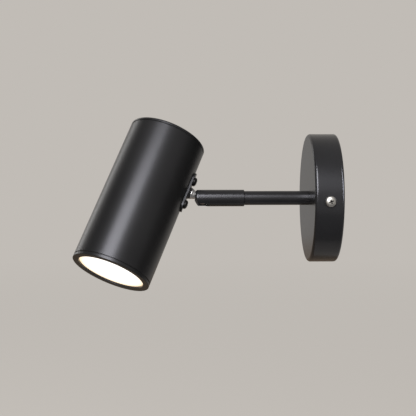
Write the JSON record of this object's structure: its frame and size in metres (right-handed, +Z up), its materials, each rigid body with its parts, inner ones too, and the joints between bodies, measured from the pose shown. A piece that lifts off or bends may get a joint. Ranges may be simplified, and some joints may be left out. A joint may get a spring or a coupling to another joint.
{
  "type": "pivoting spotlight wall light",
  "caption": "Wall-mounted spotlight: round canopy, straight arm with a swivel ball joint and a cylindrical lamp head with a frosted diffuser.",
  "frame": {"origin": "centre of the canopy's back rim, on the wall, midway between the two fixing slots", "axes": "+Z up, -Y out of the wall along the arm, +Y into the wall"},
  "size_m": [0.1091, 0.2034, 0.1347],
  "materials": {
    "canopy_black": "satin black powder coat on steel",
    "arm_black": "satin black paint on steel",
    "plate_black": "satin black paint on steel",
    "head_black": "satin black powder coat on aluminium",
    "screw_black": "black zinc",
    "stud_dark": "black nickel, polished",
    "screw_nickel": "nickel plated",
    "zinc_steel": "zinc plated",
    "brass": "turned",
    "nylon": "moulded",
    "foam_rubber": "matt",
    "driver_white": "moulded",
    "terminal_white": "moulded",
    "sink_aluminium": "extruded",
    "reflector_bright": "bright",
    "led_yellow": "phosphor",
    "diffuser_opal": "opal, lit"
  },
  "bodies": {
    "wall_side": {"canopy": "canopy_black", "mounting_bracket": "zinc_steel", "cover_screws": "screw_nickel", "earth_screw": "brass", "mounting_pads": "foam_rubber", "led_driver": "driver_white", "terminal_block": "terminal_white", "terminal_screws": "zinc_steel", "arm_tube": "arm_black", "toothed_washer": "zinc_steel", "arm_nut": "zinc_steel", "swivel_bolt": "zinc_steel"},
    "swivel_barrel": {"barrel": "arm_black", "barrel_bush": "brass", "thrust_washer": "nylon", "disc_springs": "zinc_steel", "friction_cup": "nylon"},
    "stud": {"ball_stud": "stud_dark", "stud_washer": "zinc_steel", "stud_nut": "zinc_steel"},
    "lamp_head": {"bracket_plate": "plate_black", "bracket_screws": "screw_black", "head_tube": "head_black", "rear_cap": "head_black", "front_ring": "head_black", "diffuser": "diffuser_opal", "diffuser_gasket": "foam_rubber", "reflector": "reflector_bright", "led_board": "reflector_bright", "led_chips": "led_yellow", "board_screws": "zinc_steel", "thermal_pad": "foam_rubber", "heat_sink": "sink_aluminium"}
  },
  "joints": [
    {"name": "barrel_turn", "type": "hinge", "parent": "wall_side", "child": "swivel_barrel", "pos_m": [0, -0.1038, 0], "axis": [0, -1, 0], "range_deg": [-170, 170]},
    {"name": "stud_tilt", "type": "hinge", "parent": "swivel_barrel", "child": "stud", "pos_m": [0, -0.1038, 0], "axis": [0.9532, 0, 0.3024], "range_deg": [-1.3, 101.3]},
    {"name": "head_turn", "type": "hinge", "parent": "stud", "child": "lamp_head", "pos_m": [0, -0.1038, 0], "axis": [-0.1098, -0.9317, 0.3462], "range_deg": [-170, 170]}
  ]
}
